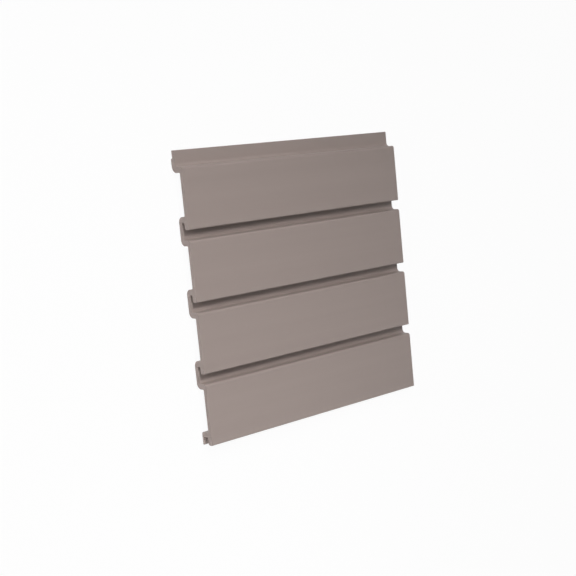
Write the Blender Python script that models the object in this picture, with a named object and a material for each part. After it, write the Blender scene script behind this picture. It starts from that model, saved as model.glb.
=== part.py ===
"""Slatwall panel: one length of rigid plastic extrusion with four slats and three slots between them.

The cross-section is drawn in YZ and runs along X. The panel lies on its back, with the faces of
the slats up (+Z), the top flange at +Y and the bottom hook at -Y. Lengths are in metres.
"""
import math

import bmesh
import bpy

MM = 0.001

# Length and slat spacing, both in whole inches
LENGTH = 304.8 * MM
SLAT_PITCH = 76.2 * MM
SLAT_COUNT = 4

# Slats: a flat wall that thickens into a lip along its lower edge
SLAT_WALL = 5.0 * MM
LIP_WALL = 6.8 * MM

# Slots: the mouth between a lip and the slat below, and the pocket that rises behind the lip
SLOT_MOUTH = 10.8 * MM
POCKET_WIDTH = 4.9 * MM
POCKET_RISE = 7.3 * MM

# Channel walls that wrap round the back of a slot
HEAD_WEB = 6.4 * MM
FOOT_WEB = 6.0 * MM
BACK_WALL = 4.8 * MM

# Top flange, and the shoulder below it that stands proud of the channel backs
FLANGE_RISE = 17.5 * MM
SHOULDER_DROP = 8.4 * MM
SHOULDER_PROUD = 2.3 * MM

# Bottom hook: a leg behind the lowest lip, open downwards. The leg stands a little proud of the
# channel backs, and the lip is a little longer there
HOOK_WEB = 5.3 * MM
HOOK_PROUD = 0.4 * MM
LEG_WALL = 2.2 * MM
LEG_DROP = 8.9 * MM
LAST_LIP_DROP = 1.0 * MM

# Corner radii
FACE_RADIUS = 2.8 * MM
LIP_RADIUS = 1.3 * MM
LIP_HEEL_RADIUS = 2.4 * MM
POCKET_RADIUS = 1.0 * MM
HEAD_RADIUS = 6.0 * MM
FOOT_INNER_RADIUS = 4.3 * MM
FOOT_OUTER_RADIUS = 6.2 * MM
SHOULDER_FOOT_RADIUS = 7.5 * MM
HOOK_RADIUS = 3.0 * MM
ROOT_RADIUS = 1.4 * MM
EDGE_RADIUS = 0.7 * MM
SHOULDER_RADIUS = 1.0 * MM

# Widest gap between a round corner and its facets
ARC_ERROR = 0.008 * MM

# Depths behind the slat faces
POCKET_BACK = LIP_WALL + POCKET_WIDTH
CHANNEL_BACK = POCKET_BACK + BACK_WALL
SHOULDER_BACK = CHANNEL_BACK + SHOULDER_PROUD
HOOK_BACK = CHANNEL_BACK + HOOK_PROUD

# Heights, measured from the lip of each slat
LEDGE = SLAT_PITCH - SLOT_MOUTH
FOOT_BOTTOM = LEDGE - FOOT_WEB
HEAD_TOP = POCKET_RISE + HEAD_WEB
HOOK_TOP = POCKET_RISE + HOOK_WEB
LEG_END = POCKET_RISE - LEG_DROP
LAST_LIP = -LAST_LIP_DROP

# Heights on the top slat, above the lowest lip
TOP_LIP = (SLAT_COUNT - 1) * SLAT_PITCH
FLANGE_TOP = TOP_LIP + LEDGE + FLANGE_RISE
SHOULDER_TOP = FLANGE_TOP - SHOULDER_DROP


def slot(lip):
    """Slot above one slat: the slat's top corner, ledge, back wall, pocket, then round the next lip."""
    next_lip = lip + SLAT_PITCH
    return [
        (lip + LEDGE, 0.0, FACE_RADIUS),
        (lip + LEDGE, POCKET_BACK, FOOT_INNER_RADIUS),
        (next_lip + POCKET_RISE, POCKET_BACK, POCKET_RADIUS),
        (next_lip + POCKET_RISE, LIP_WALL, POCKET_RADIUS),
        (next_lip, LIP_WALL, LIP_HEEL_RADIUS),
        (next_lip, 0.0, LIP_RADIUS),
    ]


def top_flange():
    """Top corner and ledge of the top slat, the flange above them, and the shoulder behind it."""
    foot = TOP_LIP + FOOT_BOTTOM
    return [
        (TOP_LIP + LEDGE, 0.0, FACE_RADIUS),
        (TOP_LIP + LEDGE, POCKET_BACK, FOOT_INNER_RADIUS),
        (FLANGE_TOP, POCKET_BACK, EDGE_RADIUS),
        (FLANGE_TOP, CHANNEL_BACK, EDGE_RADIUS),
        (SHOULDER_TOP, CHANNEL_BACK, SHOULDER_RADIUS),
        (SHOULDER_TOP, SHOULDER_BACK, SHOULDER_RADIUS),
        (foot, SHOULDER_BACK, SHOULDER_FOOT_RADIUS),
        (foot, SLAT_WALL, ROOT_RADIUS),
    ]


def channel_back(lip):
    """Outside of the channel behind one lip, from the slat above it down to the slat below."""
    foot = lip - SLAT_PITCH + FOOT_BOTTOM
    return [
        (lip + HEAD_TOP, SLAT_WALL, ROOT_RADIUS),
        (lip + HEAD_TOP, CHANNEL_BACK, HEAD_RADIUS),
        (foot, CHANNEL_BACK, FOOT_OUTER_RADIUS),
        (foot, SLAT_WALL, ROOT_RADIUS),
    ]


def bottom_hook():
    """Web, leg and lowest lip, with the channel between leg and lip that opens downwards."""
    leg_front = HOOK_BACK - LEG_WALL
    return [
        (HOOK_TOP, SLAT_WALL, ROOT_RADIUS),
        (HOOK_TOP, HOOK_BACK, HOOK_RADIUS),
        (LEG_END, HOOK_BACK, EDGE_RADIUS),
        (LEG_END, leg_front, EDGE_RADIUS),
        (POCKET_RISE, leg_front, POCKET_RADIUS),
        (POCKET_RISE, LIP_WALL, POCKET_RADIUS),
        (LAST_LIP, LIP_WALL, LIP_HEEL_RADIUS),
        (LAST_LIP, 0.0, LIP_RADIUS),
    ]


def profile_corners():
    """All corners of the section as (height, depth behind the slat faces, radius)."""
    lips = [number * SLAT_PITCH for number in range(SLAT_COUNT)]
    corners = []
    for lip in lips[:-1]:
        corners += slot(lip)
    corners += top_flange()
    for lip in reversed(lips[1:]):
        corners += channel_back(lip)
    return corners + bottom_hook()


def rounded(corners):
    """Outline through the corners, each turned by an arc; radii shrink where a wall is too short."""
    count = len(corners)
    points = [corner[:2] for corner in corners]
    runs = [math.dist(points[i], points[(i + 1) % count]) for i in range(count)]
    headings = [
        math.atan2(points[(i + 1) % count][1] - points[i][1], points[(i + 1) % count][0] - points[i][0])
        for i in range(count)
    ]
    turns = [math.remainder(headings[i] - headings[i - 1], math.tau) for i in range(count)]
    setbacks = [corners[i][2] * math.tan(abs(turns[i]) / 2) for i in range(count)]
    room = [min(1.0, 0.98 * runs[i] / (setbacks[i] + setbacks[(i + 1) % count])) for i in range(count)]

    outline = []
    for i, (height, depth, radius) in enumerate(corners):
        fit = min(room[i - 1], room[i])
        radius *= fit
        start = (
            height - setbacks[i] * fit * math.cos(headings[i - 1]),
            depth - setbacks[i] * fit * math.sin(headings[i - 1]),
        )
        side = math.copysign(math.pi / 2, turns[i])
        centre = (
            start[0] + radius * math.cos(headings[i - 1] + side),
            start[1] + radius * math.sin(headings[i - 1] + side),
        )
        steps = math.ceil(abs(turns[i]) / (2 * math.acos(1 - ARC_ERROR / radius)))
        for step in range(steps + 1):
            angle = headings[i - 1] - side + turns[i] * step / steps
            outline.append((centre[0] + radius * math.cos(angle), centre[1] + radius * math.sin(angle)))
    return outline


def extruded(name, outline):
    """Object made by pushing the outline, set level in YZ, along the whole length in X."""
    heights = [height for height, _ in outline]
    middle = (min(heights) + max(heights)) / 2
    mesh = bpy.data.meshes.new(name)
    shape = bmesh.new()
    rim = [shape.verts.new((-LENGTH / 2, height - middle, SHOULDER_BACK - depth)) for height, depth in outline]
    cap = shape.faces.new(rim)
    swept = bmesh.ops.extrude_face_region(shape, geom=[cap], use_keep_orig=True)
    far_rim = [item for item in swept["geom"] if isinstance(item, bmesh.types.BMVert)]
    bmesh.ops.translate(shape, vec=(LENGTH, 0.0, 0.0), verts=far_rim)
    bmesh.ops.recalc_face_normals(shape, faces=shape.faces)
    shape.to_mesh(mesh)
    shape.free()
    mesh.shade_smooth()
    mesh.set_sharp_from_angle(angle=math.radians(30))
    panel = bpy.data.objects.new(name, mesh)
    bpy.context.collection.objects.link(panel)
    return panel


def warm_grey_plastic():
    """Satin taupe plastic, coloured all the way through."""
    material = bpy.data.materials.new("warm_grey_plastic")
    material.use_nodes = True
    shader = material.node_tree.nodes["Principled BSDF"]
    shader.inputs["Base Color"].default_value = (0.330, 0.272, 0.250, 1.0)
    shader.inputs["Roughness"].default_value = 0.55
    shader.inputs["Metallic"].default_value = 0.0
    return material


for leftover in list(bpy.data.objects):
    bpy.data.objects.remove(leftover, do_unlink=True)

slatwall_panel = extruded("slatwall_panel", rounded(profile_corners()))
slatwall_panel.data.materials.append(warm_grey_plastic())
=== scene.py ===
import math

import bpy
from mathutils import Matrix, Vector

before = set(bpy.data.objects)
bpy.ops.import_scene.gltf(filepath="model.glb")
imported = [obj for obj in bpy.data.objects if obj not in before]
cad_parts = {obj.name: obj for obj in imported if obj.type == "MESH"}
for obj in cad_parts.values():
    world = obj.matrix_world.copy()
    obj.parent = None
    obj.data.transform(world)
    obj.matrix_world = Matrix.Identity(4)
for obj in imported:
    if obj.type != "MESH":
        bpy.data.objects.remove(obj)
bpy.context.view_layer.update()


# Camera
# It stands to the left of the panel and looks down on it, turned so that the slats run level
# from left to right and the flange is at the top of the picture.
CAMERA_PLACE = (-0.7653, 0.1400, 0.9441)    # m
CAMERA_TURN = (-2.504, -38.947, -7.219)     # degrees
CAMERA_LENS = 67.05                         # mm
CAMERA_SENSOR = 36.0                        # mm
CAMERA_NEAR = 0.05                          # m

lens = bpy.data.cameras.new("camera")
lens.lens = CAMERA_LENS
lens.sensor_width = CAMERA_SENSOR
lens.clip_start = CAMERA_NEAR
camera = bpy.data.objects.new("camera", lens)
camera.location = CAMERA_PLACE
camera.rotation_euler = [math.radians(angle) for angle in CAMERA_TURN]
bpy.context.collection.objects.link(camera)
bpy.context.scene.camera = camera
bpy.context.scene.view_settings.view_transform = "Standard"


# Floor
# A pale level sheet that the panel lies on, so wide that only low views reach its far edge. The
# camera sees it almost white, with a faint shadow of the panel on it.
FLOOR_SIDE = 12.0       # m
FLOOR_DROP = 0.0002     # m, below the back of the panel
FLOOR_COLOUR = (0.80, 0.80, 0.80, 1.0)
FLOOR_ROUGHNESS = 0.9
FLOOR_GLOW = 0.96       # share of plain white in what is seen of it; the rest is its lit surface


def seen_or_mirrored(tree):
    """Mask of the rays that show a surface itself: straight, mirrored or through something clear."""
    path = tree.nodes.new("ShaderNodeLightPath")
    mask = path.outputs["Is Camera Ray"]
    for kind in ("Is Glossy Ray", "Is Transmission Ray"):
        either = tree.nodes.new("ShaderNodeMath")
        either.operation = "MAXIMUM"
        tree.links.new(mask, either.inputs[0])
        tree.links.new(path.outputs[kind], either.inputs[1])
        mask = either.outputs[0]
    return mask


reach = FLOOR_SIDE / 2
floor_corners = [(-reach, -reach, 0), (reach, -reach, 0), (reach, reach, 0), (-reach, reach, 0)]
floor_mesh = bpy.data.meshes.new("floor")
floor_mesh.from_pydata(floor_corners, [], [(0, 1, 2, 3)])
floor = bpy.data.objects.new("floor", floor_mesh)
floor.location.z = -FLOOR_DROP
bpy.context.collection.objects.link(floor)

paper = bpy.data.materials.new("pale_floor")
paper.use_nodes = True
nodes, links = paper.node_tree.nodes, paper.node_tree.links
sheet = nodes["Principled BSDF"]
sheet.inputs["Base Color"].default_value = FLOOR_COLOUR
sheet.inputs["Roughness"].default_value = FLOOR_ROUGHNESS
glow = nodes.new("ShaderNodeEmission")
glow.inputs["Strength"].default_value = 1.0
share = nodes.new("ShaderNodeMath")
share.operation = "MULTIPLY"
share.inputs[1].default_value = FLOOR_GLOW
blend = nodes.new("ShaderNodeMixShader")
links.new(seen_or_mirrored(paper.node_tree), share.inputs[0])
links.new(share.outputs[0], blend.inputs[0])
links.new(sheet.outputs[0], blend.inputs[1])
links.new(glow.outputs[0], blend.inputs[2])
links.new(blend.outputs[0], nodes["Material Output"].inputs["Surface"])
floor_mesh.materials.append(paper)


# Studio light
# Soft boxes round the panel, all white. The two that stand high on the flange's side shine across
# the slats at a slant, so that each lip shades the slot under it. Those with a grid (a spread under
# 180 degrees) are aimed past the bottom hook, so that their light fades towards the flange.
SOFT_BOXES = {
    # turn to the right of overhead and rise towards the flange (degrees), distance and side (m),
    # spread (degrees), aim on the floor (m), power (W)
    "key_box": (-20, 26.5, 1.9, 0.5, 80, (-0.1, -0.32), 2.84),
    "high_box": (-25, 36, 1.9, 0.6, 50, (-0.25, -0.35), 1.2),
    "side_box": (-65, 20, 1.9, 0.8, 70, (-0.1, -0.35), 1.87),
    "low_left_box": (-25, -50, 0.6, 0.4, 180, (0, 0), 0.49),
    "low_right_box": (45, -30, 1.9, 0.8, 180, (0, 0), 2.0),
    "right_box": (85, 0, 1.9, 0.8, 180, (0, 0), 6.5),
    "front_box": (0, -82, 1.9, 0.8, 180, (0, 0), 0.8),
}

for box_name, (turn, rise, distance, side, spread, aim, watts) in SOFT_BOXES.items():
    across = math.radians(turn)
    upward = math.radians(rise)
    way = Vector((
        math.sin(across) * math.cos(upward),
        math.sin(upward),
        math.cos(across) * math.cos(upward),
    ))
    box = bpy.data.lights.new(box_name, "AREA")
    box.shape = "SQUARE"
    box.size = side
    box.spread = math.radians(spread)
    box.energy = watts
    stand = bpy.data.objects.new(box_name, box)
    stand.location = distance * way
    beam = Vector((*aim, 0.0)) - stand.location
    stand.rotation_euler = beam.to_track_quat("-Z", "Y").to_euler()
    bpy.context.collection.objects.link(stand)

# The room round them is dim to the walls of the slots, but white where it is seen or mirrored
ROOM_COLOUR = (1.0, 1.0, 1.0, 1.0)
ROOM_LIGHT = 0.015

sky = bpy.data.worlds.new("studio")
sky.use_nodes = True
nodes, links = sky.node_tree.nodes, sky.node_tree.links
level = nodes.new("ShaderNodeMath")
level.operation = "MAXIMUM"
level.inputs[1].default_value = ROOM_LIGHT
links.new(seen_or_mirrored(sky.node_tree), level.inputs[0])
links.new(level.outputs[0], nodes["Background"].inputs["Strength"])
nodes["Background"].inputs["Color"].default_value = ROOM_COLOUR
bpy.context.scene.world = sky


# Slatwall panel
# One length of rigid plastic pushed through a die and sawn square at both ends. The taupe colour
# goes all the way through; the skin is satin, with faint lines where it slid past the die.
TAUPE_DARK = (0.326, 0.266, 0.243, 1.0)
TAUPE_PALE = (0.341, 0.278, 0.255, 1.0)
SAWN_DARK = (0.335, 0.273, 0.251, 1.0)
SAWN_PALE = (0.365, 0.297, 0.273, 1.0)
SATIN_ROUGHNESS = (0.41, 0.49)  # from the bottom to the top of the die lines
SAWN_ROUGHNESS = 0.15           # more on the sawn ends

HEIGHT_UNIT = 0.001             # m: the four heights are in mm
DIE_LINE_HEIGHT = 0.018
PEEL_HEIGHT = 0.007
WAVE_HEIGHT = 0.05
SAW_MARK_HEIGHT = 0.05

NOISE_SPAN = (0.3, 0.7)         # most of a noise texture's values lie between these


def noise(tree, vector, detail, scale=1.0):
    """Noise texture on a vector, with its factor as the output."""
    texture = tree.nodes.new("ShaderNodeTexNoise")
    texture.inputs["Scale"].default_value = scale
    texture.inputs["Detail"].default_value = detail
    tree.links.new(vector, texture.inputs["Vector"])
    return texture.outputs["Fac"]


def stretched(tree, vector, times):
    """Vector with each axis multiplied, so that a texture runs out along the one multiplied least."""
    stretch = tree.nodes.new("ShaderNodeVectorMath")
    stretch.operation = "MULTIPLY"
    stretch.inputs[1].default_value = times
    tree.links.new(vector, stretch.inputs[0])
    return stretch.outputs["Vector"]


def ramp(tree, value, span, to=(0.0, 1.0)):
    """Value brought from one range to another, held at the ends."""
    scale = tree.nodes.new("ShaderNodeMapRange")
    ends = {"From Min": span[0], "From Max": span[1], "To Min": to[0], "To Max": to[1]}
    for name, number in ends.items():
        scale.inputs[name].default_value = number
    tree.links.new(value, scale.inputs["Value"])
    return scale.outputs["Result"]


def sum_of(tree, parts):
    """Sum of masks, each times its own factor."""
    total = None
    for value, factor in parts:
        step = tree.nodes.new("ShaderNodeMath")
        step.operation = "MULTIPLY_ADD" if total else "MULTIPLY"
        step.inputs[1].default_value = factor
        tree.links.new(value, step.inputs[0])
        if total:
            tree.links.new(total, step.inputs[2])
        total = step.outputs[0]
    return total


# Marks of the die: fine lines, a few sharper grooves and broad streaks, all along the whole length.
# A stretch says how fast a noise changes along the length, up the panel and into its depth, in 1/m
DIE_LINE_STRETCH = (1.2, 420.0, 420.0)
STREAK_STRETCH = (0.8, 60.0, 60.0)
GROOVE_STRETCH = (0.4, 900.0, 900.0)
GROOVE_SPAN = (0.68, 0.74)      # only the highest spots of that noise are grooves
GROOVE_DEPTH = 0.7              # of the die lines' height

die_marks = bpy.data.node_groups.new("die_marks", "ShaderNodeTree")
die_marks.interface.new_socket("Place", in_out="INPUT", socket_type="NodeSocketVector")
die_marks.interface.new_socket("Line Height", in_out="OUTPUT", socket_type="NodeSocketFloat")
die_marks.interface.new_socket("Streak", in_out="OUTPUT", socket_type="NodeSocketFloat")
inlet, outlet = die_marks.nodes.new("NodeGroupInput"), die_marks.nodes.new("NodeGroupOutput")
fine = noise(die_marks, stretched(die_marks, inlet.outputs["Place"], DIE_LINE_STRETCH), detail=3.0)
broad = noise(die_marks, stretched(die_marks, inlet.outputs["Place"], STREAK_STRETCH), detail=4.0)
spots = noise(die_marks, stretched(die_marks, inlet.outputs["Place"], GROOVE_STRETCH), detail=0.0)
groove = ramp(die_marks, spots, GROOVE_SPAN)
lines = sum_of(die_marks, [(fine, 1.0), (groove, -GROOVE_DEPTH)])
die_marks.links.new(lines, outlet.inputs["Line Height"])
die_marks.links.new(ramp(die_marks, broad, NOISE_SPAN), outlet.inputs["Streak"])

# Skin of the plastic as it cools: fine orange peel, and a slow wave in the flat walls
PEEL_SCALE = 900.0
WAVE_STRETCH = (6.0, 24.0, 24.0)

cooled_skin = bpy.data.node_groups.new("cooled_skin", "ShaderNodeTree")
cooled_skin.interface.new_socket("Place", in_out="INPUT", socket_type="NodeSocketVector")
cooled_skin.interface.new_socket("Peel", in_out="OUTPUT", socket_type="NodeSocketFloat")
cooled_skin.interface.new_socket("Wave", in_out="OUTPUT", socket_type="NodeSocketFloat")
inlet, outlet = cooled_skin.nodes.new("NodeGroupInput"), cooled_skin.nodes.new("NodeGroupOutput")
peel = noise(cooled_skin, inlet.outputs["Place"], detail=2.0, scale=PEEL_SCALE)
cooled_skin.links.new(peel, outlet.inputs["Peel"])
wave = noise(cooled_skin, stretched(cooled_skin, inlet.outputs["Place"], WAVE_STRETCH), detail=1.0)
cooled_skin.links.new(wave, outlet.inputs["Wave"])

# Sawn ends: a mask for the faces square to the length, and the marks that the teeth leave there
SAWN_FACING = (0.85, 0.98)      # share of the normal that points along the length
TOOTH_STRETCH = (40.0, 1100.0, 70.0)

sawn_end = bpy.data.node_groups.new("sawn_end", "ShaderNodeTree")
sawn_end.interface.new_socket("Place", in_out="INPUT", socket_type="NodeSocketVector")
sawn_end.interface.new_socket("Facing", in_out="INPUT", socket_type="NodeSocketVector")
sawn_end.interface.new_socket("Cut", in_out="OUTPUT", socket_type="NodeSocketFloat")
sawn_end.interface.new_socket("Tooth Marks", in_out="OUTPUT", socket_type="NodeSocketFloat")
inlet, outlet = sawn_end.nodes.new("NodeGroupInput"), sawn_end.nodes.new("NodeGroupOutput")
apart = sawn_end.nodes.new("ShaderNodeSeparateXYZ")
either_end = sawn_end.nodes.new("ShaderNodeMath")
either_end.operation = "ABSOLUTE"
sawn_end.links.new(inlet.outputs["Facing"], apart.inputs[0])
sawn_end.links.new(apart.outputs["X"], either_end.inputs[0])
cut = ramp(sawn_end, either_end.outputs[0], SAWN_FACING)
teeth = noise(sawn_end, stretched(sawn_end, inlet.outputs["Place"], TOOTH_STRETCH), detail=3.0)
only_there = sawn_end.nodes.new("ShaderNodeMath")
only_there.operation = "MULTIPLY"
sawn_end.links.new(teeth, only_there.inputs[0])
sawn_end.links.new(cut, only_there.inputs[1])
sawn_end.links.new(cut, outlet.inputs["Cut"])
sawn_end.links.new(only_there.outputs[0], outlet.inputs["Tooth Marks"])

# The plastic itself, with those marks in its colour, its gloss and its surface
skin = bpy.data.materials.new("warm_grey_plastic")
skin.use_nodes = True
tree = skin.node_tree
shader = tree.nodes["Principled BSDF"]
where = tree.nodes.new("ShaderNodeTexCoord")


def placed(group):
    """Group node in the panel's material, fed with the panel's own coordinates."""
    node = tree.nodes.new("ShaderNodeGroup")
    node.node_tree = group
    tree.links.new(where.outputs["Object"], node.inputs["Place"])
    return node


die = placed(die_marks)
cooled = placed(cooled_skin)
sawn = placed(sawn_end)
tree.links.new(where.outputs["Normal"], sawn.inputs["Facing"])

tint = tree.nodes.new("ShaderNodeMix")
tint.data_type = "RGBA"
tint.inputs["A"].default_value = TAUPE_DARK
tint.inputs["B"].default_value = TAUPE_PALE
tree.links.new(die.outputs["Streak"], tint.inputs["Factor"])
sawn_tint = tree.nodes.new("ShaderNodeMix")
sawn_tint.data_type = "RGBA"
sawn_tint.inputs["A"].default_value = SAWN_DARK
sawn_tint.inputs["B"].default_value = SAWN_PALE
tree.links.new(ramp(tree, sawn.outputs["Tooth Marks"], NOISE_SPAN), sawn_tint.inputs["Factor"])
cut_tint = tree.nodes.new("ShaderNodeMix")
cut_tint.data_type = "RGBA"
tree.links.new(sawn_tint.outputs["Result"], cut_tint.inputs["B"])
tree.links.new(sawn.outputs["Cut"], cut_tint.inputs["Factor"])
tree.links.new(tint.outputs["Result"], cut_tint.inputs["A"])
tree.links.new(cut_tint.outputs["Result"], shader.inputs["Base Color"])

satin = ramp(tree, die.outputs["Line Height"], NOISE_SPAN, SATIN_ROUGHNESS)
sheen = sum_of(tree, [(satin, 1.0), (sawn.outputs["Cut"], SAWN_ROUGHNESS)])
tree.links.new(sheen, shader.inputs["Roughness"])

relief = tree.nodes.new("ShaderNodeBump")
relief.inputs["Distance"].default_value = HEIGHT_UNIT
heights = [
    (die.outputs["Line Height"], DIE_LINE_HEIGHT),
    (cooled.outputs["Peel"], PEEL_HEIGHT),
    (cooled.outputs["Wave"], WAVE_HEIGHT),
    (sawn.outputs["Tooth Marks"], SAW_MARK_HEIGHT),
]
tree.links.new(sum_of(tree, heights), relief.inputs["Height"])
tree.links.new(relief.outputs["Normal"], shader.inputs["Normal"])

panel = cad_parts["slatwall_panel"]
for holder in panel.material_slots:
    holder.material = skin

# The saw leaves a small broken edge round both ends, and the rounded corners are smooth to the touch
JOIN_WITHIN = 0.000001          # m
RIM_CHAMFER = 0.00015           # m
RIM_SEGMENTS = 2
RIM_ANGLE = 60                  # degrees: only the rims of the ends turn by more
FLAT_WEIGHT = 100               # the largest, so that the flat walls keep their flat shading

joined = panel.modifiers.new("joined_facets", "WELD")
joined.merge_threshold = JOIN_WITHIN
rims = panel.modifiers.new("sawn_rims", "BEVEL")
rims.width = RIM_CHAMFER
rims.segments = RIM_SEGMENTS
rims.limit_method = "ANGLE"
rims.angle_limit = math.radians(RIM_ANGLE)
smoothed = bpy.data.node_groups.new("smooth_rounds", "GeometryNodeTree")
smoothed.interface.new_socket("Mesh", in_out="INPUT", socket_type="NodeSocketGeometry")
smoothed.interface.new_socket("Mesh", in_out="OUTPUT", socket_type="NodeSocketGeometry")
inlet, outlet = smoothed.nodes.new("NodeGroupInput"), smoothed.nodes.new("NodeGroupOutput")
shade = smoothed.nodes.new("GeometryNodeSetShadeSmooth")
smoothed.links.new(inlet.outputs["Mesh"], shade.inputs["Geometry"])
smoothed.links.new(shade.outputs["Geometry"], outlet.inputs["Mesh"])
panel.modifiers.new("smooth_rounds", "NODES").node_group = smoothed
flats = panel.modifiers.new("flat_walls", "WEIGHTED_NORMAL")
flats.weight = FLAT_WEIGHT
